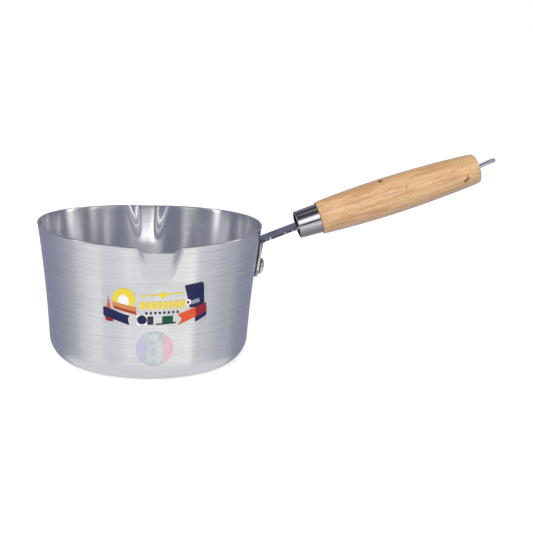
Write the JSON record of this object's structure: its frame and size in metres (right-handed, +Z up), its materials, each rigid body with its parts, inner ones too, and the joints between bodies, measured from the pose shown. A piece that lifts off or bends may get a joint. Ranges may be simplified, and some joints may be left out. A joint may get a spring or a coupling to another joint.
{
  "type": "melting pot",
  "caption": "Round metal pouring pot with a flared wall, a pouring lip front and rear, and a turned wooden grip on a riveted strap handle that ends in a hanging hole.",
  "frame": {"origin": "centre of the pot's flat underside, on the surface that it stands on", "axes": "+Z up, +X from the pot's middle out along the handle, -Y towards the front pouring lip, which has the label and the seal under it"},
  "size_m": [0.3767, 0.1992, 0.1706],
  "materials": {
    "brushed_aluminium": "satin, finely brushed round the pot",
    "strap_steel": "dark satin steel strip",
    "rivet_steel": "smooth, slightly glossy",
    "polished_steel": "polished",
    "pale_wood": "pale close-grained wood with a thin lacquer",
    "printed_film": "thin film with plain printed colour blocks",
    "seal_foil": "thin reflective foil with a soft colour shift"
  },
  "bodies": {
    "root": {"pot_body": "brushed_aluminium", "handle_strap": "strap_steel", "handle_rivet": "rivet_steel", "ferrule": "polished_steel", "wooden_grip": "pale_wood", "label_film": "printed_film", "seal_sticker": "seal_foil"}
  },
  "joints": []
}
